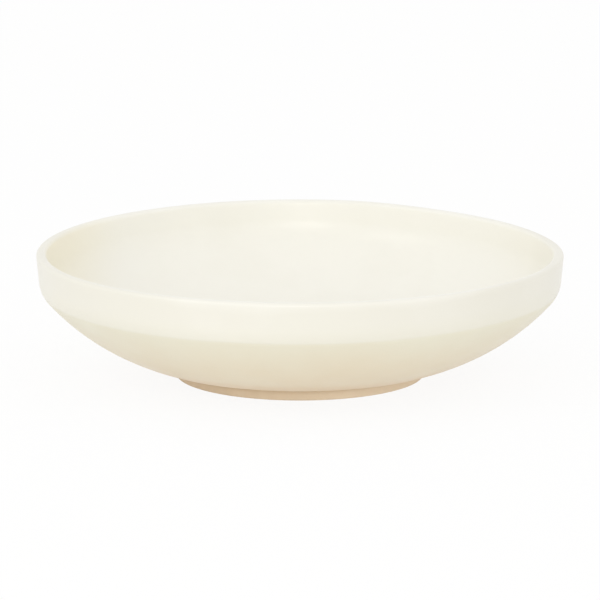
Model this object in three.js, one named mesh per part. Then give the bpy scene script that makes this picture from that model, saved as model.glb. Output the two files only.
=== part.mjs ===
// A low stoneware bowl: a fired clay body on a separate clay foot ring, dipped in two glazes.
// Millimetres, +Z up. The origin is on the bowl's axis, at the plane the foot ring stands on.
import * as THREE from 'three';

// Outside of the finished bowl, measured over the glaze
const RIM_RADIUS = 108;
const BOWL_HEIGHT = 52;
const WALL_THICKNESS = 4.3; // at the collar
const LIP_OUTER_ROUND = 1.4; // the lip is flat on top, between two rounded edges
const LIP_INNER_ROUND = 1.6;
const COLLAR_DRAFT_DEG = 5.5; // the collar leans out by this much towards the lip
const SHOULDER_HEIGHT = 36.5; // where the collar and the lower wall would meet in a sharp corner
const SHOULDER_ROUND = 11;
const HEEL_RADIUS = 64; // where the lower wall turns under, towards the foot
const HEEL_HEIGHT = 7;
const WALL_BULGE = 3.7; // how far the lower wall swells past a straight line from heel to corner

// Inside of the bowl
const FLOOR_THICKNESS = 5;
const FLOOR_RADIUS = 36; // the flat middle of the floor
const INNER_WALL_ROUND = 91; // one wide arc from the flat floor up to the inner shoulder
const INNER_SHOULDER_ROUND = 16;

// Foot ring
const FOOT_RADIUS = 51;
const FOOT_WIDTH = 5.5;
const FOOT_HEIGHT = 4.1;
const FOOT_EDGE_ROUND = 0.35;

// Glaze
const GLAZE_THICKNESS = 0.5;
const BOND_GAP = 0.05; // clearance between a coat and what it lies on or meets
const DIP_LINE_DEG = 32; // the surface has turned this far down from upright at the glaze line

// Fineness of the turned solids
const TURN_STEPS = 60;
const ARC_STEP_DEG = 8;
const LIP_STEP_DEG = 30;
const HEEL_STEPS = 4;

// Profile points are (radius, height) pairs
const at = (radius, height) => new THREE.Vector2(radius, height);
const shifted = (point, direction, length) => point.clone().addScaledVector(direction, length);
const radians = THREE.MathUtils.degToRad;

// Points of an arc from one angle to another, both ends included
function arc(centre, radius, from, to, stepDeg = ARC_STEP_DEG) {
  const steps = Math.max(1, Math.ceil(Math.abs(to - from) / radians(stepDeg)));
  return Array.from({ length: steps + 1 }, (_, index) => {
    const angle = from + ((to - from) * index) / steps;
    return at(centre.x + radius * Math.cos(angle), centre.y + radius * Math.sin(angle));
  });
}

// The profile moved sideways, away from the air on its left, by the same distance all along
function inset(profile, distance) {
  return profile.map((point, index) => {
    const before = profile[Math.max(index - 1, 0)];
    const after = profile[Math.min(index + 1, profile.length - 1)];
    const arriving = (index > 0 ? point.clone().sub(before) : after.clone().sub(point)).normalize();
    const leaving = (index < profile.length - 1 ? after.clone().sub(point) : arriving.clone()).normalize();
    const along = arriving.clone().add(leaving).normalize();
    const mitre = distance / along.dot(leaving);
    return at(point.x + along.y * mitre, point.y - along.x * mitre);
  });
}

// The collar: a straight band that leans out to the lip
const draft = radians(COLLAR_DRAFT_DEG);
const collarOut = at(Math.cos(draft), -Math.sin(draft));
const collarDown = at(-Math.sin(draft), -Math.cos(draft));
const outerLip = at(RIM_RADIUS - LIP_OUTER_ROUND, BOWL_HEIGHT - LIP_OUTER_ROUND);
const collarTop = shifted(outerLip, collarOut, LIP_OUTER_ROUND);
const corner = shifted(collarTop, collarDown, (collarTop.y - SHOULDER_HEIGHT) / Math.cos(draft));

// The lower wall: an arc from the heel to the sharp corner, swelling by WALL_BULGE in its middle
const heel = at(HEEL_RADIUS, HEEL_HEIGHT);
const chord = corner.clone().sub(heel);
const wallRound = (chord.lengthSq() / 4 + WALL_BULGE ** 2) / (2 * WALL_BULGE);
const chordSide = at(-chord.y, chord.x).normalize();
const chordMiddle = heel.clone().add(corner).multiplyScalar(0.5);
const wallCentre = shifted(chordMiddle, chordSide, wallRound - WALL_BULGE);
const angleAt = (centre, point) => Math.atan2(point.y - centre.y, point.x - centre.x);

// Centre of the round that touches a straight collar and a wall's arc from inside.
// It lies one round from the collar, and the arc's radius less that round from the arc's centre.
function shoulderCentreFor(collarPoint, round, arcCentre, arcRadius) {
  const trackStart = shifted(collarPoint, collarOut, -round);
  const fromCentre = trackStart.clone().sub(arcCentre);
  const along = fromCentre.dot(collarDown);
  const reach = along ** 2 - fromCentre.lengthSq() + (arcRadius - round) ** 2;
  return shifted(trackStart, collarDown, Math.sqrt(reach) - along);
}
const shoulderCentre = shoulderCentreFor(collarTop, SHOULDER_ROUND, wallCentre, wallRound);
const shoulderEnd = angleAt(wallCentre, shoulderCentre);

// The inside: a flat floor, one wide arc that leaves it level, and the inner shoulder
const floorTop = FOOT_HEIGHT + FLOOR_THICKNESS;
const innerCentre = at(FLOOR_RADIUS, floorTop + INNER_WALL_ROUND);
const innerCollarTop = shifted(collarTop, collarOut, -WALL_THICKNESS);
const innerLipTrack = shifted(innerCollarTop, collarOut, LIP_INNER_ROUND);
const innerLipDrop = innerLipTrack.y - (BOWL_HEIGHT - LIP_INNER_ROUND);
const innerLip = shifted(innerLipTrack, collarDown, innerLipDrop / Math.cos(draft));
const innerShoulderCentre = shoulderCentreFor(
  innerCollarTop, INNER_SHOULDER_ROUND, innerCentre, INNER_WALL_ROUND,
);
const innerShoulderStart = angleAt(innerCentre, innerShoulderCentre);

// The outside from the collar down, between two directions of its outward normal
function outerWall(from, to) {
  const points = [];
  if (from > shoulderEnd) {
    points.push(...arc(shoulderCentre, SHOULDER_ROUND, from, Math.max(to, shoulderEnd)));
  }
  if (to < shoulderEnd) {
    const wall = arc(wallCentre, wallRound, Math.min(from, shoulderEnd), to);
    points.push(...wall.slice(points.length > 0 ? 1 : 0));
  }
  return points;
}

// Under the heel the surface leaves the lower wall smoothly and flattens out to the foot
const heelAngle = angleAt(wallCentre, heel);
const heelWay = at(Math.sin(heelAngle), -Math.cos(heelAngle));
const footEnd = at(FOOT_RADIUS, FOOT_HEIGHT + GLAZE_THICKNESS);
const flattening = shifted(heel, heelWay, heel.distanceTo(footEnd) / 2);
const underHeel = new THREE.QuadraticBezierCurve(heel, flattening, footEnd);

// The finished surface, from the middle of the floor over the lip to the glaze line, and on to the foot
const dipAngle = -radians(DIP_LINE_DEG);
const aboveLine = [
  at(0, floorTop),
  ...arc(innerCentre, INNER_WALL_ROUND, -Math.PI / 2, innerShoulderStart),
  ...arc(innerShoulderCentre, INNER_SHOULDER_ROUND, innerShoulderStart, -draft).slice(1),
  ...arc(innerLip, LIP_INNER_ROUND, Math.PI - draft, Math.PI / 2, LIP_STEP_DEG),
  ...arc(outerLip, LIP_OUTER_ROUND, Math.PI / 2, -draft, LIP_STEP_DEG),
  ...outerWall(-draft, dipAngle),
];
const belowLine = [
  ...outerWall(dipAngle, heelAngle),
  ...underHeel.getPoints(HEEL_STEPS).slice(1),
];
const lineIndex = aboveLine.length - 1;
const surface = [...aboveLine, ...belowLine.slice(1)];
const glazeBack = inset(surface, GLAZE_THICKNESS);
const claySurface = inset(surface, GLAZE_THICKNESS + BOND_GAP);

// A solid turned about +Z from a clockwise profile; one that leaves the axis is closed on itself
function turned(name, profile, finish) {
  const outline = [...profile].reverse();
  if (outline[0].x > 0) outline.push(outline[0].clone());
  const geometry = new THREE.LatheGeometry(outline, TURN_STEPS);
  geometry.rotateX(Math.PI / 2);
  const mesh = new THREE.Mesh(geometry, new THREE.MeshStandardMaterial(finish));
  mesh.name = name;
  return mesh;
}

// A stretch of profile with BOND_GAP taken off its first end
function startTrimmed([first, ...rest]) {
  const way = rest[0].clone().sub(first).normalize();
  return [shifted(first, way, BOND_GAP), ...rest];
}

const buffClay = { color: 0xd9c3a2, roughness: 0.85, metalness: 0 };
const whiteGlaze = { color: 0xf3f0e4, roughness: 0.3, metalness: 0 };
const sandGlaze = { color: 0xe8e0c8, roughness: 0.35, metalness: 0 };

// The clay wall and floor, flat underneath where the foot ring is luted on
function clayBody() {
  const seatEdge = at(FOOT_RADIUS, FOOT_HEIGHT);
  return turned('clay_body', [...claySurface, seatEdge, at(0, FOOT_HEIGHT)], buffClay);
}

// The foot ring, square on top and rounded at both edges that meet the table
function footRing() {
  const inner = FOOT_RADIUS - FOOT_WIDTH;
  const outerEdge = at(FOOT_RADIUS - FOOT_EDGE_ROUND, FOOT_EDGE_ROUND);
  const innerEdge = at(inner + FOOT_EDGE_ROUND, FOOT_EDGE_ROUND);
  const profile = [
    at(inner, FOOT_HEIGHT),
    at(FOOT_RADIUS, FOOT_HEIGHT),
    ...arc(outerEdge, FOOT_EDGE_ROUND, 0, -Math.PI / 2, LIP_STEP_DEG),
    ...arc(innerEdge, FOOT_EDGE_ROUND, -Math.PI / 2, -Math.PI, LIP_STEP_DEG),
  ];
  return turned('foot_ring', profile, buffClay);
}

// White glaze over the inside, the lip and the collar, down to the glaze line
function upperGlaze() {
  const front = surface.slice(0, lineIndex + 1);
  const back = glazeBack.slice(0, lineIndex + 1);
  return turned('upper_glaze', [...front, ...back.reverse()], whiteGlaze);
}

// Sand-coloured glaze from just under the glaze line to just short of the foot
function lowerGlaze() {
  const cut = (profile) => startTrimmed(startTrimmed(profile.slice(lineIndex)).reverse());
  return turned('lower_glaze', [...cut(surface).reverse(), ...cut(glazeBack)], sandGlaze);
}

// A disc of glaze on the underside, inside the foot ring
function wellGlaze() {
  const edge = FOOT_RADIUS - FOOT_WIDTH - BOND_GAP;
  const top = FOOT_HEIGHT - BOND_GAP;
  const bottom = top - GLAZE_THICKNESS;
  return turned('well_glaze', [at(0, top), at(edge, top), at(edge, bottom), at(0, bottom)], sandGlaze);
}

const bowl = new THREE.Group();
bowl.add(clayBody(), footRing(), upperGlaze(), lowerGlaze(), wellGlaze());

export default bowl;
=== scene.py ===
"""Looks of a low stoneware bowl: its clay body, bare foot ring and three glaze coats, on a studio stage."""

from typing import NamedTuple

import bpy
import numpy as np
from bpy.props import FloatProperty, FloatVectorProperty, PointerProperty
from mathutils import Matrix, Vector


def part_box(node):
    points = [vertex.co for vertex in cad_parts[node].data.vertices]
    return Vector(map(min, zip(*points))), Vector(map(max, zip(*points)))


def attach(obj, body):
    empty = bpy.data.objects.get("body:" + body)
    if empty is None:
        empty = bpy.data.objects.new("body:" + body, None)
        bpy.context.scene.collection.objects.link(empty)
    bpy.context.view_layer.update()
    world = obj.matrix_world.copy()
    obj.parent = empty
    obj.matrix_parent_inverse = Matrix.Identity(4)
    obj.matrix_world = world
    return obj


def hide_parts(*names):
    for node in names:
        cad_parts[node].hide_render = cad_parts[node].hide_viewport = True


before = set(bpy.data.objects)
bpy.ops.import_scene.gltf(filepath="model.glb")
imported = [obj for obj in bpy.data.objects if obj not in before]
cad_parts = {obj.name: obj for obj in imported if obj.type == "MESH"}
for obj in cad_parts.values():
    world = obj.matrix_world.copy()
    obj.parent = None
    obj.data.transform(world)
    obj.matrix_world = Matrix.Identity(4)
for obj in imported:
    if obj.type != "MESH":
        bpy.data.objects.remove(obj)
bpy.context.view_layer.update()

bl_info = {
    "name": "Low bowl",
    "version": (1, 0, 0),
    "blender": (4, 5, 0),
    "location": "View3D > Sidebar > Low bowl",
    "description": "Makes the clay, the glaze coats and the studio stage of a low stoneware bowl",
    "category": "Add Mesh",
}

BODY = "root"
RIM_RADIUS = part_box("upper_glaze")[1].x
BOWL_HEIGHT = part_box("upper_glaze")[1].z
FOOT_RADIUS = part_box("foot_ring")[1].x
FOOT_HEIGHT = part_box("foot_ring")[1].z
WELL_LOW, WELL_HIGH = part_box("well_glaze")
GLAZE_THICKNESS = WELL_HIGH.z - WELL_LOW.z
FLOOR_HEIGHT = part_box("upper_glaze")[0].z + GLAZE_THICKNESS

# Fineness of the turned meshes: columns round the axis and rows along each stretch of a section.
# TURN is the angle of each column. Crowding draws rows closer together towards a stretch's end,
# and a stride keeps one row in so many.
TURN_STEPS = 360
TURN = np.arange(TURN_STEPS) * 2 * np.pi / TURN_STEPS
ARC_POINTS = 160
INSIDE_ROWS = 90
LIP_ROWS = 30
COLLAR_ROWS = 46
COLLAR_CROWDING = 2.0
WHITE_BACK_ROWS = 60
SAND_ROWS = 90
SAND_CROWDING = 1.5
SAND_BACK_STRIDE = 2
CLAY_ROWS = 160
FOOT_ROWS = 89
WELL_ROWS = 40
WELL_EDGE_STRIDE = 8
SAME_POINT = 1e-9
SHARP_CORNER = np.radians(50)

# Seeds of the unevenness that a hand leaves
TRIM_SEED = 3
LINE_SEED = 7
FOOT_LINE_SEED = 11

# Camera
PHOTO_PIXELS = 600
SENSOR_MM = 36.0
CAMERA_REACH = 100.0


class Pattern(NamedTuple):
    """A noise pattern: about how many grains it has to a metre, and how many finer layers."""

    per_metre: float
    detail: float


WHITE_CLOUDS = Pattern(22, 3)
WHITE_PATCHES = Pattern(70, 3)
WHITE_PEEL = Pattern(420, 2)
SAND_CLOUDS = Pattern(30, 3)
SAND_PATCHES = Pattern(90, 3)
SAND_PEEL = Pattern(520, 2)
CLAY_MOTTLE = Pattern(160, 4)
CLAY_GRAIN = Pattern(2600, 5)

# The values of a pattern that count as its low and high ends
USUAL_SPAN = (0.3, 0.7)
WHITE_CLOUD_SPAN = (0.35, 0.68)

WHITE_LIGHT = (1.0, 1.0, 1.0, 1.0)


def length(label, words, metres):
    """A size in metres that a user may change."""
    return FloatProperty(name=label, description=words, default=metres, unit="LENGTH", precision=5)


def angle(label, words, degrees):
    """An angle that a user may change, written in degrees."""
    return FloatProperty(name=label, description=words, default=np.radians(degrees), subtype="ANGLE")


def number(label, words, value):
    """A plain number that a user may change."""
    return FloatProperty(name=label, description=words, default=value, precision=3)


def colour(label, words, red, green, blue):
    """A colour that a user may change, written as it is seen, from 0 to 255.

    The sRGB curve turns it into the even steps of light that a shader takes.
    """
    seen = np.array([red, green, blue]) / 255
    linear = np.where(seen <= 0.04045, seen / 12.92, ((seen + 0.055) / 1.055) ** 2.4)
    return FloatVectorProperty(
        name=label, description=words, default=tuple(linear), subtype="COLOR", size=3, min=0, max=1
    )


class BowlForm(bpy.types.PropertyGroup):
    """Sizes of the finished bowl, over the glaze."""

    wall: length("Wall", "Thickness of the collar", 0.0043)
    lip_outer_round: length("Outer lip round", "Radius of the lip's outer edge", 0.0014)
    lip_inner_round: length("Inner lip round", "Radius of the lip's inner edge", 0.0016)
    collar_draft: angle("Collar draft", "How far the collar leans out towards the lip", 5.5)
    shoulder_height: length("Shoulder height", "Where collar and lower wall would meet in a corner", 0.0365)
    shoulder_round: length("Shoulder round", "Radius of the outer shoulder", 0.011)
    heel_radius: length("Heel radius", "Where the lower wall turns under", 0.064)
    heel_height: length("Heel height", "Height of the heel above the table", 0.007)
    wall_bulge: length("Wall bulge", "Swell of the lower wall past a straight line", 0.0037)
    floor_radius: length("Floor radius", "Flat middle of the floor", 0.036)
    inner_wall_round: length("Inner wall round", "Radius of the wide arc inside", 0.091)
    inner_shoulder_round: length("Inner shoulder round", "Radius of the inner shoulder", 0.016)
    rim_wave: length("Rim wave", "How much lower the rim lies at left and right than in front", 0.0006)
    rim_sag: length("Rim sag", "How far the rim has sunk at its lowest side in the kiln", 0.001)
    sag_direction: angle("Sag direction", "Side on which the rim has sunk, from +X", 36)
    sag_spread: angle("Sag spread", "How far round the sunk side reaches to each side", 33)
    turning_ripple: length("Turning ripple", "Height of the faint rings left by the wheel", 0.000012)
    ripple_pitch: length("Ripple pitch", "Distance between those rings", 0.0065)
    ripple_calm: length("Ripple calm", "Distance from the lip over which the rings die away", 0.0172)
    ripple_start: number("Ripple start", "Share of the lower wall over which the rings begin", 0.05)


class GlazeForm(bpy.types.PropertyGroup):
    """Shape of the glaze coats and of the line between them."""

    thickness: length("Thickness", "Thickness of each coat", GLAZE_THICKNESS)
    bond: length("Bond", "Clearance between a coat and the clay", 0.00005)
    line_slope: angle("Line slope", "Turn of the shoulder at the glaze line, from upright", 32)
    line_tilt: length("Line tilt", "How much higher the line runs on one side, from a tilted dip", 0.0006)
    line_wave: length("Line wave", "How much higher the line runs at left and right than in front", 0.002)
    line_waver: length("Line waver", "Unevenness of the line round the bowl", 0.0002)
    line_roll: length("Line roll", "How far the upper coat stands proud at its rolled edge", 0.00006)
    line_nose: length("Line nose", "Width of the quarter-round nose of that edge", 0.0003)
    line_reach: length("Line reach", "How far above the line that edge has died away", 0.012)
    line_blend: length("Line blend", "How far the two glazes run into each other at the line", 0.0014)
    line_veil: length("Line veil", "How far above the line the sand begins to show through", 0.0075)
    veil_share: number("Veil share", "How much of the sand shows through just above the line", 0.3)
    # Painted light on the lip: a painted highlight along its front and painted shade at its left and right,
    # where the darker outside white comes in sooner.
    lip_painted_fade: length("Lip fade", "How far over the lip the upper coat thins towards the outside", 0.01)
    lip_side_painted_shade: number("Lip run", "How much sooner it thins at the lip's left and right, as a share", 0.8)
    foot_roll: length("Foot roll", "How far the lower coat stands proud, pooled above the foot", 0.00015)
    foot_nose: length("Foot nose", "Width of the quarter-round nose of that pool", 0.0005)
    foot_reach: length("Foot reach", "How far above the foot that pool has died away", 0.006)
    well_dish: number("Well dish", "How much thinner the well's coat is in its middle, as a share", 0.3)
    well_shelf: length("Well shelf", "Width of the edge of that coat over which the dish begins", 0.004)


class FootForm(bpy.types.PropertyGroup):
    """Shape of the bare foot ring."""

    width: length("Width", "Width of the ring", 0.0055)
    table_round: length("Table round", "Rounding of the two edges that meet the table", 0.00035)
    seat_round: length("Seat round", "Rounding of the upper outer edge", 0.00035)
    unevenness: length("Unevenness", "Hand-trimmed unevenness of the ring's faces", 0.00006)


class BowlColours(bpy.types.PropertyGroup):
    """Colours of the glazes and the clay."""

    # Painted light: the white inside is painted lighter and the white outside darker, to match how the
    # light falls on them.
    white: colour("White glaze", "Upper glaze inside, where it lies thickest", 246, 244, 235)
    white_outside_painted_shade: colour("Thin white glaze", "Upper glaze outside, where it lies thinner", 237, 234, 222)
    # Painted warm shade inside the bowl's two ends.
    white_painted_warm_shade: colour("Warm white glaze", "Upper glaze inside the bowl's two ends", 246, 240, 220)
    sand: colour("Sand glaze", "Lower glaze just under the line", 234, 230, 210)
    sand_thin: colour("Thin sand glaze", "Lower glaze near the foot, over the clay", 229, 212, 183)
    sand_heel: colour("Sand glaze at the heel", "Lower glaze where it is thinnest", 227, 204, 169)
    clay: colour("Buff clay", "Bare fired clay", 238, 221, 196)
    # Darker clay, for the mottle and for the painted shade on the foot.
    clay_dark_and_painted_shade: colour("Flashed clay", "Clay browned along the edge of the glaze", 206, 183, 151)


class BowlFinish(bpy.types.PropertyGroup):
    """Gloss, relief, clouds, warming and mottle of the surfaces, and their painted shade."""

    white_smooth: number("White, smoothest", "Roughness of the upper glaze at its glossiest", 0.29)
    white_rough: number("White, roughest", "Roughness of the upper glaze at its dullest", 0.34)
    sand_smooth: number("Sand, smoothest", "Roughness of the lower glaze at its glossiest", 0.36)
    sand_rough: number("Sand, roughest", "Roughness of the lower glaze at its dullest", 0.46)
    clay_smooth: number("Clay, smoothest", "Roughness of the bare clay between its grains", 0.72)
    clay_rough: number("Clay, roughest", "Roughness of the bare clay on its grains", 0.9)
    peel: number("Orange peel", "Strength of the fine relief of both glazes", 0.12)
    grain: number("Clay grain", "Strength of the fine relief of the bare clay", 0.35)
    relief_depth: length("Relief depth", "Depth of a relief at full strength", 0.0002)
    white_cloud: number("White clouds", "Strength of the clouds in the upper glaze", 0.18)
    sand_cloud: number("Sand clouds", "Strength of the clouds in the lower glaze", 0.12)
    clay_mottle: number("Clay mottle", "Strength of the mottling of the bare clay", 0.1)
    # Painted warm shade inside the bowl's two ends, the left one most: where it begins, where it is
    # deepest, and the right end's share.
    painted_shade_start: length("Warm start", "How far left or right the inside begins to warm", 0.66 * RIM_RADIUS)
    painted_shade_end: length("Warm end", "How far left or right the inside is warmest", 0.98 * RIM_RADIUS)
    right_painted_shade: number("Right warmth", "Warmth of the right end, as a share of the left end's", 0.2)
    heel_reach: length("Heel reach", "Height at which the lower glaze begins to warm to the heel", 0.0126)
    heel_warmth: number("Heel warmth", "How near it comes to the colour of the heel", 0.8)
    # Painted shade on the foot's clay at its seat, under the overhanging wall.
    seat_painted_shade: number("Flash beside the glaze", "Browning of the clay at the foot's seat", 0.4)
    # Painted contact shadow where the clay meets the table, and its height.
    table_painted_shadow: number("Flash at the edge", "Browning of the clay at the table", 0.5)
    painted_shadow_height: length("Flashed edge", "Height of the edge browned there", 0.15 * FOOT_HEIGHT)
    # Painted shade on the left of the foot and painted light on its right.
    left_painted_shade: number("Flash on the left", "Browning of the clay on the left", 0.6)
    right_painted_light: number("Flash on the right", "Browning of the clay on the right", -0.2)


class Studio(bpy.types.PropertyGroup):
    """Camera, lamps and floor."""

    distance: length("Camera distance", "From the aim point to the camera", 2.5)
    elevation: angle("Camera elevation", "How far the camera looks down", 11.98)
    aim_height: length("Aim height", "Height of the point in the middle of the picture", 0.0307)
    pixels_per_metre: number("Picture scale", "Photograph pixels to a metre at the aim point", 2436.5)
    sky: number("Sky strength", "Even light from all round", 0.915)
    lamp_size: length("Lamp size", "Width of each soft lamp", 0.6)
    lamp_distance: length("Lamp distance", "From the bowl to each lamp", 1.6)
    front_power: number("Front power", "Power of the lamp in front, in watts", 3.1)
    front_azimuth: angle("Front azimuth", "Direction of the lamp in front, to the left of the camera", 3)
    front_elevation: angle("Front elevation", "Height of the lamp in front above the table", 14)
    side_power: number("Side power", "Power of the lamp on the left, in watts", 1.55)
    side_azimuth: angle("Side azimuth", "Direction of the lamp on the left, from the camera", 52)
    side_elevation: angle("Side elevation", "Height of the lamp on the left above the table", 35)
    floor_reach: length("Floor reach", "From the bowl to each side of the floor", 4.0)
    floor_colour: colour("Floor", "Pale studio floor", 253, 252, 250)
    floor_glow: number("Floor glow", "Share of the light from below that the floor lets through", 0.5)
    shadow_share: number("Shadow share", "How much of the floor's own shading the camera sees", 0.1)


class Profile:
    """A line of (radius, height) points with the normals on its left, read by distance along it."""

    def __init__(self, *stretches):
        points = np.concatenate(stretches)
        steps = np.linalg.norm(np.diff(points, axis=0), axis=1)
        points = points[np.concatenate([[True], steps > SAME_POINT])]
        steps = np.linalg.norm(np.diff(points, axis=0), axis=1)
        self.points = points
        self.along = np.concatenate([[0.0], np.cumsum(steps)])
        tangents = np.gradient(points, self.along, axis=0)
        tangents /= np.linalg.norm(tangents, axis=1, keepdims=True)
        self.normals = np.stack([-tangents[:, 1], tangents[:, 0]], axis=1)

    def read(self, distance, rise=0.0):
        """Radius and height at each distance along the line, moved out along the normal by rise."""
        radius, height = (np.interp(distance, self.along, axis) for axis in self.points.T)
        out, up = (np.interp(distance, self.along, axis) for axis in self.normals.T)
        return radius + out * rise, height + up * rise

    def distance_to(self, point):
        """Distance along the line to the point of it nearest to the given one."""
        return self.along[np.argmin(np.linalg.norm(self.points - point, axis=1))]


def arc(centre, radius, start, end):
    """Points on a circle, from one angle to another."""
    turn = np.linspace(start, end, ARC_POINTS)
    return centre + radius * np.stack([np.cos(turn), np.sin(turn)], axis=1)


def direction(start, end):
    """Angle of the line from one point to another."""
    return np.arctan2(end[1] - start[1], end[0] - start[0])


def shoulder_centre(collar_point, collar_out, collar_down, radius, arc_centre, arc_radius):
    """Centre of the round that touches a straight collar and a wall's arc from inside.

    It lies one radius from the collar, and the arc's radius less that radius from the arc's centre.
    """
    start = collar_point - collar_out * radius
    offset = start - arc_centre
    along = offset @ collar_down
    reach = along**2 - offset @ offset + (arc_radius - radius) ** 2
    return start + collar_down * (np.sqrt(reach) - along)


class BowlWall:
    """The finished surface as one profile, from the floor's middle over the lip and down to the foot."""

    def __init__(self, form, glaze):
        # The collar, a straight band that leans out to the lip
        draft = form.collar_draft
        collar_out = np.array([np.cos(draft), -np.sin(draft)])
        collar_down = np.array([-np.sin(draft), -np.cos(draft)])
        outer_lip = np.array([RIM_RADIUS, BOWL_HEIGHT]) - form.lip_outer_round
        collar_top = outer_lip + collar_out * form.lip_outer_round
        corner = collar_top + collar_down * (collar_top[1] - form.shoulder_height) / np.cos(draft)

        # The lower wall, an arc from the heel to the corner, and the shoulder that rounds the corner off
        heel = np.array([form.heel_radius, form.heel_height])
        chord = corner - heel
        wall_round = (chord @ chord / 4 + form.wall_bulge**2) / (2 * form.wall_bulge)
        chord_side = np.array([-chord[1], chord[0]]) / np.linalg.norm(chord)
        wall_centre = (heel + corner) / 2 + chord_side * (wall_round - form.wall_bulge)
        heel_angle = direction(wall_centre, heel)
        outer = shoulder_centre(
            collar_top, collar_out, collar_down, form.shoulder_round, wall_centre, wall_round
        )
        outer_end = direction(wall_centre, outer)

        # The inside, a flat floor, one wide arc and the inner shoulder
        inner_collar_top = collar_top - collar_out * form.wall
        inner_track = inner_collar_top + collar_out * form.lip_inner_round
        inner_drop = inner_track[1] - (BOWL_HEIGHT - form.lip_inner_round)
        inner_lip = inner_track + collar_down * inner_drop / np.cos(draft)
        inner_round = form.inner_wall_round
        inner_centre = np.array([form.floor_radius, FLOOR_HEIGHT + inner_round])
        inner = shoulder_centre(
            inner_collar_top, collar_out, collar_down, form.inner_shoulder_round, inner_centre, inner_round
        )
        inner_start = direction(inner_centre, inner)

        foot_end = np.array([FOOT_RADIUS, FOOT_HEIGHT + glaze.thickness])
        self.profile = Profile(
            np.array([[0.0, FLOOR_HEIGHT]]),
            arc(inner_centre, inner_round, -np.pi / 2, inner_start),
            arc(inner, form.inner_shoulder_round, inner_start, -draft),
            arc(inner_lip, form.lip_inner_round, np.pi - draft, np.pi / 2),
            arc(outer_lip, form.lip_outer_round, np.pi / 2, -draft),
            arc(outer, form.shoulder_round, -draft, outer_end),
            arc(wall_centre, wall_round, outer_end, heel_angle),
            self.under_heel(heel, heel_angle, foot_end),
        )
        line_way = np.array([np.cos(glaze.line_slope), -np.sin(glaze.line_slope)])
        self.lip_start = self.profile.distance_to(inner_lip - collar_out * form.lip_inner_round)
        self.lip_end = self.profile.distance_to(collar_top)
        self.glaze_line = self.profile.distance_to(outer + form.shoulder_round * line_way)
        self.end = self.profile.along[-1]
        self.form = form

    @staticmethod
    def under_heel(heel, heel_angle, foot_end):
        """A quadratic curve that leaves the lower wall smoothly and flattens out to the foot."""
        way = np.array([np.sin(heel_angle), -np.cos(heel_angle)])
        middle = heel + way * np.linalg.norm(foot_end - heel) / 2
        step = np.linspace(0, 1, ARC_POINTS)[:, None]
        return (1 - step) ** 2 * heel + 2 * step * (1 - step) * middle + step**2 * foot_end

    def sunk(self, height):
        """Heights lowered where the rim sank in the kiln, from nothing at the heel to most at the lip.

        The rim lies lower at left and right, by a squared cosine of the turn, and once more on one
        side, by a bell with a flat top. From heel to lip the drop grows as a smooth step.
        """
        form = self.form
        share = np.clip((height - form.heel_height) / (BOWL_HEIGHT - form.heel_height), 0, 1)
        away = np.angle(np.exp(1j * (TURN - form.sag_direction)))
        side = np.exp(-((away / form.sag_spread) ** 4))
        drop = form.rim_wave * np.cos(TURN) ** 2 + form.rim_sag * side
        return height - drop * share**2 * (3 - 2 * share)


def waver(seed):
    """A smooth unevenness round the bowl: waves of 2 to 23 to the turn, from about -1 to 1."""
    rng = np.random.default_rng(seed)
    counts = np.array([2, 3, 5, 7, 11, 16, 23])
    phases = rng.uniform(0, 2 * np.pi, len(counts))
    sizes = rng.uniform(0.5, 1.0, len(counts)) / np.sqrt(counts)
    waves = np.sin(np.multiply.outer(TURN, counts) + phases) * sizes
    return waves.sum(axis=-1) / np.linalg.norm(sizes)


def ringed(wall, distance):
    """Faint rings left by the wheel: a sine of the distance along the profile, still at the lip.

    They only sink, so that the bowl keeps its outer sizes.
    """
    lip_middle = (wall.lip_start + wall.lip_end) / 2
    away = np.clip(np.abs(distance - lip_middle) / wall.form.ripple_calm, 0, 1)
    wave = np.sin(2 * np.pi * distance / wall.form.ripple_pitch)
    return wall.form.turning_ripple * away * (wave - 1)


def rolled(gap, rise, nose, reach):
    """A rolled glaze edge: a quarter-round nose at the edge, then a cubic fall to nothing at reach."""
    rounded = np.sqrt(1 - np.clip(1 - gap / nose, 0, 1) ** 2)
    return rise * rounded * np.clip(1 - gap / reach, 0, 1) ** 3


def crowded(count, power):
    """A column of shares from 0 to 1, closer together towards 1: one less a power of what is left."""
    return 1 - (1 - np.linspace(0, 1, count)[:, None]) ** power


def all_round(values):
    """A grid with one row for each value, the same in every column."""
    return np.repeat(values[:, None], TURN_STEPS, axis=1)


def turned_faces(rows, columns, poles):
    """Faces of a turned mesh, as lists of point numbers.

    Each quad joins two neighbouring rows and two neighbouring columns. Without poles the last row
    joins the first. With poles the first and last rows are single points, numbered after all the
    others, and a fan of triangles closes each end.
    """
    rings = rows - 2 if poles else rows
    column = np.arange(columns)
    after = np.roll(column, -1)
    row = np.arange(rings)[:, None] * columns
    below = np.roll(row, -1, axis=0)
    if poles:
        row, below = row[:-1], below[:-1]
    quads = np.stack([row + column, below + column, below + after, row + after], axis=-1)
    faces = quads.reshape(-1, 4).tolist()
    if poles:
        first_pole = np.full(columns, rings * columns)
        last_ring = (rings - 1) * columns
        faces += np.stack([first_pole, column, after], axis=1).tolist()
        faces += np.stack([last_ring + column, first_pole + 1, last_ring + after], axis=1).tolist()
    return faces


def by_point(grid, poles):
    """A grid's values in the order of the mesh's points, with the mean of each end row for a pole."""
    rows = grid[1:-1] if poles else grid
    values = rows.reshape(-1, *grid.shape[2:])
    return np.concatenate([values, grid[[0, -1]].mean(axis=1)]) if poles else values


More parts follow.
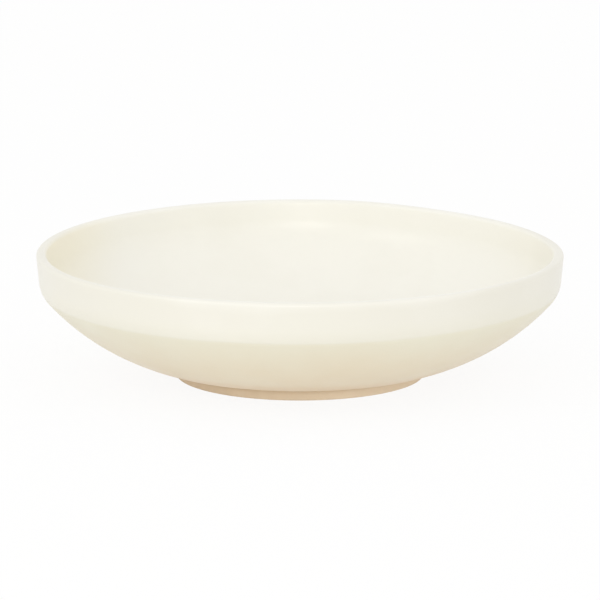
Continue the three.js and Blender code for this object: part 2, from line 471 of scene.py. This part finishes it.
def turned_piece(name, radius, height, poles, **fields):
    """A mesh turned about the axis from grids of radius and height, one row for each point of the section.

    With poles, the first and last rows lie on the axis. Without, the section closes on itself.
    Each field is a grid too, kept as a point attribute for the material.
    """
    places = np.stack([radius * np.cos(TURN), radius * np.sin(TURN), height], axis=-1)
    mesh = bpy.data.meshes.new(name)
    mesh.from_pydata(by_point(places, poles).tolist(), [], turned_faces(*radius.shape, poles))
    mesh.validate()
    mesh.shade_smooth()
    mesh.set_sharp_from_angle(angle=SHARP_CORNER)
    for key, field in fields.items():
        values = by_point(field, poles).astype(np.float32)
        mesh.attributes.new(key, "FLOAT", "POINT").data.foreach_set("value", values)
    piece = bpy.data.objects.new(name, mesh)
    bpy.context.scene.collection.objects.link(piece)
    return piece


def settle(piece, node, material):
    """The piece stands for a CAD node, takes a slot of the record and wears a material."""
    piece.data.materials.append(material)
    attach(piece, BODY)
    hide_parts(node)


def glaze_line(wall, glaze):
    """Distance along the profile to the glaze line: a tilted and slightly bent dip with a little waver.

    The line lies on the outside, so a shorter distance is higher up. It runs highest towards +X.
    """
    dip = glaze.line_tilt * np.cos(TURN) + glaze.line_wave * np.cos(TURN) ** 2
    return wall.glaze_line - dip - glaze.line_waver * waver(LINE_SEED)


def coat_section(wall, face, rise, back, thickness):
    """Radius and height round a coat's section: out along its face, then back along the clay."""
    outward = wall.profile.read(face, rise)
    inward = wall.profile.read(back, -thickness)
    return [np.concatenate(both) for both in zip(outward, inward)]


def upper_coat(wall, glaze):
    """The white coat, a shell: out along the finished surface to the glaze line and back along the clay.

    Rows run from the floor's middle over the lip; past the lip they are shares of the way to the line.
    The last row of the face lies on the finished surface, as it does on the sand coat.
    """
    line = glaze_line(wall, glaze)
    inside = np.linspace(0, wall.lip_start, INSIDE_ROWS)
    lip = np.linspace(wall.lip_start, wall.lip_end, LIP_ROWS)[1:]
    collar = wall.lip_end + crowded(COLLAR_ROWS, COLLAR_CROWDING)[1:] * (line - wall.lip_end)
    face = np.concatenate([all_round(np.concatenate([inside, lip])), collar])
    edge = rolled(line - face, glaze.line_roll, glaze.line_nose, glaze.line_reach)
    rise = ringed(wall, face) + edge
    rise[-1] = 0
    back = np.linspace(1, 0, WHITE_BACK_ROWS)[:, None] * line
    radius, height = coat_section(wall, face, rise, back, glaze.thickness)
    distance = np.concatenate([face, back])
    # Painted light: across the lip the tone goes over to the darker outside white, slowly in front for a
    # painted highlight and sooner at left and right for painted shade.
    fade = glaze.lip_painted_fade * (1 - glaze.lip_side_painted_shade * np.cos(TURN) ** 2)
    return turned_piece(
        "white_glaze_coat",
        radius,
        wall.sunk(height),
        poles=True,
        outside=np.clip((distance - wall.lip_start) / fade, 0, 1),
        below_line=distance - line,
    )


def lower_coat(wall, glaze):
    """The sand coat, a shell: down the finished surface from the glaze line and back up along the clay."""
    line = glaze_line(wall, glaze)
    end = wall.end - glaze.line_waver * (1 + waver(FOOT_LINE_SEED))
    share = np.linspace(0, 1, SAND_ROWS)[:, None]
    face = line + crowded(SAND_ROWS, SAND_CROWDING) * (end - line)
    rings = ringed(wall, face) * np.clip(share / wall.form.ripple_start, 0, 1)
    rise = rings + rolled(end - face, glaze.foot_roll, glaze.foot_nose, glaze.foot_reach)
    rise[-1] = 0
    back = end + share[::SAND_BACK_STRIDE] * (line - end)
    radius, height = coat_section(wall, face, rise, back, glaze.thickness)
    return turned_piece(
        "sand_glaze_coat",
        radius,
        wall.sunk(height),
        poles=False,
        below_line=np.concatenate([face, back]) - line,
    )


def clay_core(wall, glaze):
    """The clay under the coats: the finished surface moved in, then flat across the foot's seat."""
    along = np.linspace(0, wall.end, CLAY_ROWS)
    radius, height = wall.profile.read(along, -glaze.thickness - glaze.bond)
    radius = all_round(np.concatenate([radius, [FOOT_RADIUS, 0.0]]))
    height = all_round(np.concatenate([height, [FOOT_HEIGHT, FOOT_HEIGHT]]))
    return turned_piece("clay_core", radius, wall.sunk(height), poles=True)


def foot_ring(foot):
    """The foot: a square ring with rounded edges, its faces a little uneven from trimming by hand."""
    inner = FOOT_RADIUS - foot.width
    table, seat = foot.table_round, foot.seat_round
    section = Profile(
        np.array([[inner, FOOT_HEIGHT]]),
        arc(np.array([FOOT_RADIUS - seat, FOOT_HEIGHT - seat]), seat, np.pi / 2, 0),
        arc(np.array([FOOT_RADIUS - table, table]), table, 0, -np.pi / 2),
        arc(np.array([inner + table, table]), table, -np.pi / 2, -np.pi),
        np.array([[inner, FOOT_HEIGHT]]),
    )
    along = np.linspace(0, section.along[-1], FOOT_ROWS, endpoint=False)
    radius, height = section.read(all_round(along))
    free = np.clip(1 - height / FOOT_HEIGHT, 0, 1) * np.clip(height / table, 0, 1)
    radius = radius - foot.unevenness * free * (1 + waver(TRIM_SEED))
    return turned_piece("bare_foot_ring", radius, height, poles=False)


def well_coat(glaze):
    """The coat under the floor: a disc with a rounded edge, its underside dished by a parabola."""
    edge, top, bottom = WELL_HIGH.x, WELL_HIGH.z, WELL_LOW.z
    half = (top - bottom) / 2
    rim = arc(np.array([edge - half, bottom + half]), half, np.pi / 2, -np.pi / 2)[::WELL_EDGE_STRIDE]
    under = np.linspace(edge - half, 0, WELL_ROWS)[1:]
    shelf = np.clip((edge - under) / glaze.well_shelf, 0, 1)
    dish = (top - bottom) * glaze.well_dish * (1 - (under / edge) ** 2) * shelf
    radius = np.concatenate([[0.0], rim[:, 0], under])
    height = np.concatenate([[top], rim[:, 1], bottom + dish])
    return turned_piece("well_glaze_disc", all_round(radius), all_round(height), poles=True)


class NodeBench:
    """Adds nodes to a material or world and links them, with inputs given by name or number."""

    def __init__(self, owner):
        owner.use_nodes = True
        self.tree = owner.node_tree
        self.tree.nodes.clear()

    def add(self, kind, inputs=None, **settings):
        """A node of a kind; an input is either a plain value or another node's socket."""
        node = self.tree.nodes.new(kind)
        for key, value in settings.items():
            setattr(node, key, value)
        for key, value in (inputs or {}).items():
            if isinstance(value, bpy.types.NodeSocket):
                self.tree.links.new(value, node.inputs[key])
            else:
                node.inputs[key].default_value = value
        return node

    def noise(self, place, pattern):
        """A noise pattern, from 0 to 1."""
        inputs = {"Vector": place, "Scale": pattern.per_metre, "Detail": pattern.detail}
        return self.add("ShaderNodeTexNoise", inputs).outputs["Fac"]

    def clouds(self, place, pattern, low, high, span=USUAL_SPAN, smooth=False):
        """A noise pattern carried to another range."""
        return self.remap(self.noise(place, pattern), *span, low, high, smooth)

    def attribute(self, name):
        """A point attribute of the mesh, as a number."""
        return self.add("ShaderNodeAttribute", attribute_name=name).outputs["Fac"]

    def axis(self, place, letter):
        """One of a place's three coordinates."""
        return self.add("ShaderNodeSeparateXYZ", {"Vector": place}).outputs[letter]

    def remap(self, value, low, high, to_low, to_high, smooth=False):
        """A value carried from one range to another, held at the ends."""
        kind = "SMOOTHSTEP" if smooth else "LINEAR"
        inputs = {"Value": value, "From Min": low, "From Max": high, "To Min": to_low, "To Max": to_high}
        return self.add("ShaderNodeMapRange", inputs, interpolation_type=kind).outputs["Result"]

    def mix(self, share, first, second):
        """The first colour going over to the second as share goes from 0 to 1.

        The node names its number, vector and colour sockets alike, so the colour ones go by number.
        """
        inputs = {"Factor": share, 6: first, 7: second}
        return self.add("ShaderNodeMix", inputs, data_type="RGBA").outputs[2]

    def blend(self, share, first, second):
        """The first shader going over to the second as share goes from 0 to 1."""
        return self.add("ShaderNodeMixShader", {0: share, 1: first, 2: second}).outputs["Shader"]

    def math(self, operation, *values):
        """One arithmetic step on numbers or sockets."""
        inputs = dict(enumerate(values))
        return self.add("ShaderNodeMath", inputs, operation=operation).outputs["Value"]


def rgba(colour_value):
    """A colour property with full alpha, as a socket takes it."""
    return (*colour_value, 1.0)


def new_material(name):
    """An empty material with its bench and its object coordinates."""
    material = bpy.data.materials.new(name)
    bench = NodeBench(material)
    return material, bench, bench.add("ShaderNodeTexCoord").outputs["Object"]


def surface(bench, tone, roughness, relief, strength, depth):
    """The surface shader and its output, with a fine relief."""
    bump = {"Height": relief, "Strength": strength, "Distance": depth}
    normal = bench.add("ShaderNodeBump", bump).outputs["Normal"]
    inputs = {"Base Color": tone, "Roughness": roughness, "Normal": normal}
    shader = bench.add("ShaderNodeBsdfPrincipled", inputs)
    bench.add("ShaderNodeOutputMaterial", {"Surface": shader.outputs["BSDF"]})


def run_together(bench, glaze, white, sand):
    """The two glazes with a soft line between them, and a veil of sand in the white above it."""
    gap = bench.attribute("below_line")
    blend = bench.remap(gap, -glaze.line_blend, glaze.line_blend, 0.0, 1.0, smooth=True)
    veil = bench.remap(gap, -glaze.line_veil, 0.0, 0.0, glaze.veil_share)
    return bench.mix(bench.math("MAXIMUM", blend, veil), white, sand)


def white_glaze(colours, finish, glaze):
    """Satin cream-white glaze with an orange-peel skin, cloudy in tone.

    It is painted lighter inside than outside, with a painted highlight along the lip's front and painted
    shade at its left and right, and painted warm shade inside the bowl's two ends, the left one most.
    """
    material, bench, place = new_material("white_glaze")
    strength = finish.white_cloud
    cloud = bench.clouds(place, WHITE_CLOUDS, -strength, strength, WHITE_CLOUD_SPAN, smooth=True)
    # Painted light: this share, with clouds, turns the lighter inside white to the darker outside white.
    tone_share = bench.math("ADD", bench.attribute("outside"), cloud)
    # Painted warm shade inside the bowl's two ends, the left one most.
    across = bench.axis(place, "X")
    start, end = finish.painted_shade_start, finish.painted_shade_end
    left = bench.remap(across, -start, -end, 0.0, 1.0, smooth=True)
    right = bench.remap(across, start, end, 0.0, finish.right_painted_shade, smooth=True)
    inside_painted_tone = bench.mix(bench.math("ADD", left, right), rgba(colours.white), rgba(colours.white_painted_warm_shade))
    tone = bench.mix(tone_share, inside_painted_tone, rgba(colours.white_outside_painted_shade))
    tone = run_together(bench, glaze, tone, rgba(colours.sand))
    gloss = bench.clouds(place, WHITE_PATCHES, finish.white_smooth, finish.white_rough)
    surface(bench, tone, gloss, bench.noise(place, WHITE_PEEL), finish.peel, finish.relief_depth)
    return material


def sand_tone(bench, colours, finish, place, thin_height, full_height):
    """Sand glaze, full at its upper height, thinning and warming in soft clouds towards the lower one."""
    cloud = bench.clouds(place, SAND_CLOUDS, -finish.sand_cloud, finish.sand_cloud)
    depth = bench.remap(bench.axis(place, "Z"), thin_height, full_height, 1.0, 0.0)
    tone_share = bench.math("ADD", depth, cloud)
    return bench.mix(tone_share, rgba(colours.sand), rgba(colours.sand_thin))


def sand_skin(bench, finish, place, tone):
    """The satin surface of the sand glaze."""
    gloss = bench.clouds(place, SAND_PATCHES, finish.sand_smooth, finish.sand_rough)
    surface(bench, tone, gloss, bench.noise(place, SAND_PEEL), finish.peel, finish.relief_depth)


def sand_glaze(colours, finish, glaze, form):
    """Sand glaze of the outer wall, running into the white along the glaze line and warmest at the heel."""
    material, bench, place = new_material("sand_glaze")
    tone = sand_tone(bench, colours, finish, place, FOOT_HEIGHT, form.shoulder_height)
    height = bench.axis(place, "Z")
    heel = bench.remap(height, form.heel_height, finish.heel_reach, finish.heel_warmth, 0.0, smooth=True)
    tone = bench.mix(heel, tone, rgba(colours.sand_heel))
    # Above the line the outside white, painted darker as the light falls, runs into the sand.
    tone = run_together(bench, glaze, rgba(colours.white_outside_painted_shade), tone)
    sand_skin(bench, finish, place, tone)
    return material


def well_sand_glaze(colours, finish):
    """Sand glaze under the floor."""
    material, bench, place = new_material("well_sand_glaze")
    tone = sand_tone(bench, colours, finish, place, WELL_LOW.z, WELL_HIGH.z)
    sand_skin(bench, finish, place, tone)
    return material


def bare_clay(name, colours, finish):
    """Dry fired clay with a fine grain and a darker mottle, with painted shade beside the glaze and on its
    left, and a painted contact shadow at its lower edge.
    """
    material, bench, place = new_material(name)
    height = bench.axis(place, "Z")
    mottle = bench.clouds(place, CLAY_MOTTLE, -finish.clay_mottle, finish.clay_mottle)
    # Painted shade at the foot's seat, under the overhanging wall.
    beside_glaze = bench.remap(height, FOOT_HEIGHT / 2, FOOT_HEIGHT, 0.0, finish.seat_painted_shade, smooth=True)
    # Painted shade on the left of the foot and painted light on its right.
    side = bench.remap(
        bench.axis(place, "X"), -FOOT_RADIUS, FOOT_RADIUS, finish.left_painted_shade, finish.right_painted_light
    )
    # Painted contact shadow along the edge on the table.
    edge = bench.remap(height, 0.0, finish.painted_shadow_height, finish.table_painted_shadow, 0.0, smooth=True)
    # The mottle and the painted shade together darken the clay.
    darkened = bench.math("ADD", bench.math("ADD", beside_glaze, edge), bench.math("ADD", side, mottle))
    tone = bench.mix(darkened, rgba(colours.clay), rgba(colours.clay_dark_and_painted_shade))
    grain = bench.noise(place, CLAY_GRAIN)
    dry = bench.remap(grain, *USUAL_SPAN, finish.clay_smooth, finish.clay_rough)
    surface(bench, tone, dry, grain, finish.grain, finish.relief_depth)
    return material


def background_rays(bench):
    """One for rays that show the background, plainly, in a gloss or through glass; zero for light."""
    path = bench.add("ShaderNodeLightPath").outputs
    seen = bench.math("MAXIMUM", path["Is Camera Ray"], path["Is Glossy Ray"])
    return bench.math("MAXIMUM", seen, path["Is Transmission Ray"])


def floor_sheet(studio):
    """A milky sheet that the camera sees as white, keeping a share of its own shading for the shadow.

    To the light that reaches the bowl it is pale and lets part of the sky's light through from below.
    Seen from under the table it is clear, so that the bowl's underside can be looked at.
    """
    material = bpy.data.materials.new("studio_floor")
    bench = NodeBench(material)
    plain = bench.add("ShaderNodeBsdfDiffuse", {"Color": rgba(studio.floor_colour)}).outputs["BSDF"]
    white = bench.add("ShaderNodeEmission", {"Color": WHITE_LIGHT}).outputs["Emission"]
    clear = bench.add("ShaderNodeBsdfTransparent").outputs["BSDF"]
    under = bench.add("ShaderNodeNewGeometry").outputs["Backfacing"]
    shown = bench.blend(under, bench.blend(1 - studio.shadow_share, plain, white), clear)
    lit = bench.blend(studio.floor_glow, plain, clear)
    sheet = bench.blend(background_rays(bench), lit, shown)
    bench.add("ShaderNodeOutputMaterial", {"Surface": sheet})
    return material


def studio_floor(studio):
    """The square floor that the bowl stands on."""
    half = studio.floor_reach
    corners = [(-half, -half, 0), (half, -half, 0), (half, half, 0), (-half, half, 0)]
    mesh = bpy.data.meshes.new("studio_floor")
    mesh.from_pydata(corners, [], [(0, 1, 2, 3)])
    mesh.materials.append(floor_sheet(studio))
    floor = bpy.data.objects.new("studio_floor", mesh)
    bpy.context.scene.collection.objects.link(floor)


def studio_sky(studio):
    """Even light from all round, seen as white behind the floor."""
    world = bpy.data.worlds.new("studio_sky")
    bench = NodeBench(world)
    even = {"Color": WHITE_LIGHT, "Strength": studio.sky}
    light = bench.add("ShaderNodeBackground", even).outputs["Background"]
    white = bench.add("ShaderNodeBackground", {"Color": WHITE_LIGHT}).outputs["Background"]
    sky = bench.blend(background_rays(bench), light, white)
    bench.add("ShaderNodeOutputWorld", {"Surface": sky})
    bpy.context.scene.world = world


def pointed(name, data, azimuth, elevation, distance, aim):
    """An object at a distance from its aim, turned to face it. Azimuth runs to the left of the camera."""
    level = np.cos(elevation)
    back = Vector((-np.sin(azimuth) * level, -np.cos(azimuth) * level, np.sin(elevation)))
    placed = bpy.data.objects.new(name, data)
    placed.location = aim + back * distance
    placed.rotation_euler = (-back).to_track_quat("-Z", "Y").to_euler()
    bpy.context.scene.collection.objects.link(placed)
    return placed


def studio_lamps(studio):
    """Two large soft round lamps: one low in front, and one higher up on the left."""
    aim = Vector((0, 0, studio.aim_height))
    places = {
        "front_lamp": (studio.front_power, studio.front_azimuth, studio.front_elevation),
        "side_lamp": (studio.side_power, studio.side_azimuth, studio.side_elevation),
    }
    for name, (power, azimuth, elevation) in places.items():
        lamp = bpy.data.lights.new(name, "AREA")
        lamp.shape = "DISK"
        lamp.size = studio.lamp_size
        lamp.energy = power
        pointed(name, lamp, azimuth, elevation, studio.lamp_distance, aim)


def photo_camera(studio):
    """The camera at the photograph's viewing angle, with a lens that gives the photograph's scale."""
    aim = Vector((0, 0, studio.aim_height))
    lens = bpy.data.cameras.new("photo_camera")
    lens.sensor_width = SENSOR_MM
    lens.lens = studio.pixels_per_metre * studio.distance * SENSOR_MM / PHOTO_PIXELS
    lens.clip_end = CAMERA_REACH
    camera = pointed("photo_camera", lens, 0.0, studio.elevation, studio.distance, aim)
    bpy.context.scene.camera = camera


def bowl_wall(scene):
    """The finished wall for the scene's present sizes."""
    return BowlWall(scene.bowl_form, scene.glaze_form)


class BOWL_OT_clay_core(bpy.types.Operator):
    """Make the clay wall and floor that the coats lie on"""

    bl_idname = "bowl.clay_core"
    bl_label = "Clay core"

    def execute(self, context):
        scene = context.scene
        piece = clay_core(bowl_wall(scene), scene.glaze_form)
        clay = bare_clay("buff_clay", scene.bowl_colours, scene.bowl_finish)
        settle(piece, "clay_body", clay)
        return {"FINISHED"}


class BOWL_OT_foot_ring(bpy.types.Operator):
    """Make the bare foot ring"""

    bl_idname = "bowl.foot_ring"
    bl_label = "Foot ring"

    def execute(self, context):
        scene = context.scene
        piece = foot_ring(scene.foot_form)
        clay = bare_clay("bare_foot_clay", scene.bowl_colours, scene.bowl_finish)
        settle(piece, "foot_ring", clay)
        return {"FINISHED"}


class BOWL_OT_upper_glaze(bpy.types.Operator):
    """Make the white coat over the inside, the lip and the collar"""

    bl_idname = "bowl.upper_glaze"
    bl_label = "White glaze"

    def execute(self, context):
        scene = context.scene
        piece = upper_coat(bowl_wall(scene), scene.glaze_form)
        glaze = white_glaze(scene.bowl_colours, scene.bowl_finish, scene.glaze_form)
        settle(piece, "upper_glaze", glaze)
        return {"FINISHED"}


class BOWL_OT_lower_glaze(bpy.types.Operator):
    """Make the sand coat from the glaze line down to the foot"""

    bl_idname = "bowl.lower_glaze"
    bl_label = "Sand glaze"

    def execute(self, context):
        scene = context.scene
        piece = lower_coat(bowl_wall(scene), scene.glaze_form)
        glaze = sand_glaze(scene.bowl_colours, scene.bowl_finish, scene.glaze_form, scene.bowl_form)
        settle(piece, "lower_glaze", glaze)
        return {"FINISHED"}


class BOWL_OT_well_glaze(bpy.types.Operator):
    """Make the coat under the floor, inside the foot ring"""

    bl_idname = "bowl.well_glaze"
    bl_label = "Well glaze"

    def execute(self, context):
        scene = context.scene
        piece = well_coat(scene.glaze_form)
        glaze = well_sand_glaze(scene.bowl_colours, scene.bowl_finish)
        settle(piece, "well_glaze", glaze)
        return {"FINISHED"}


class BOWL_OT_stage(bpy.types.Operator):
    """Make the floor, the lights and the camera"""

    bl_idname = "bowl.stage"
    bl_label = "Studio stage"

    def execute(self, context):
        studio = context.scene.bowl_studio
        context.scene.view_settings.view_transform = "Standard"
        studio_sky(studio)
        studio_floor(studio)
        studio_lamps(studio)
        photo_camera(studio)
        return {"FINISHED"}


OPERATORS = (
    BOWL_OT_stage,
    BOWL_OT_clay_core,
    BOWL_OT_foot_ring,
    BOWL_OT_upper_glaze,
    BOWL_OT_lower_glaze,
    BOWL_OT_well_glaze,
)
SETTINGS = {
    "bowl_form": BowlForm,
    "glaze_form": GlazeForm,
    "foot_form": FootForm,
    "bowl_colours": BowlColours,
    "bowl_finish": BowlFinish,
    "bowl_studio": Studio,
}


class BOWL_PT_sidebar(bpy.types.Panel):
    """The bowl's steps and sizes, in the 3D view's sidebar"""

    bl_idname = "BOWL_PT_sidebar"
    bl_label = "Low bowl"
    bl_space_type = "VIEW_3D"
    bl_region_type = "UI"
    bl_category = "Low bowl"

    def draw(self, context):
        for operator in OPERATORS:
            self.layout.operator(operator.bl_idname)
        for settings in SETTINGS:
            group = getattr(context.scene, settings)
            box = self.layout.box()
            for key in group.bl_rna.properties.keys():
                if key not in {"rna_type", "name"}:
                    box.prop(group, key)


CLASSES = (*SETTINGS.values(), *OPERATORS, BOWL_PT_sidebar)


def register():
    """Adds the classes, and the settings to every scene."""
    for item in CLASSES:
        bpy.utils.register_class(item)
    for key, group in SETTINGS.items():
        setattr(bpy.types.Scene, key, PointerProperty(type=group))


def unregister():
    """Takes the settings and the classes away again."""
    for key in SETTINGS:
        delattr(bpy.types.Scene, key)
    for item in reversed(CLASSES):
        bpy.utils.unregister_class(item)


def main():
    """Makes the stage and every piece."""
    register()
    for operator in OPERATORS:
        group, step = operator.bl_idname.split(".")
        getattr(getattr(bpy.ops, group), step)()


if __name__ == "__main__":
    main()
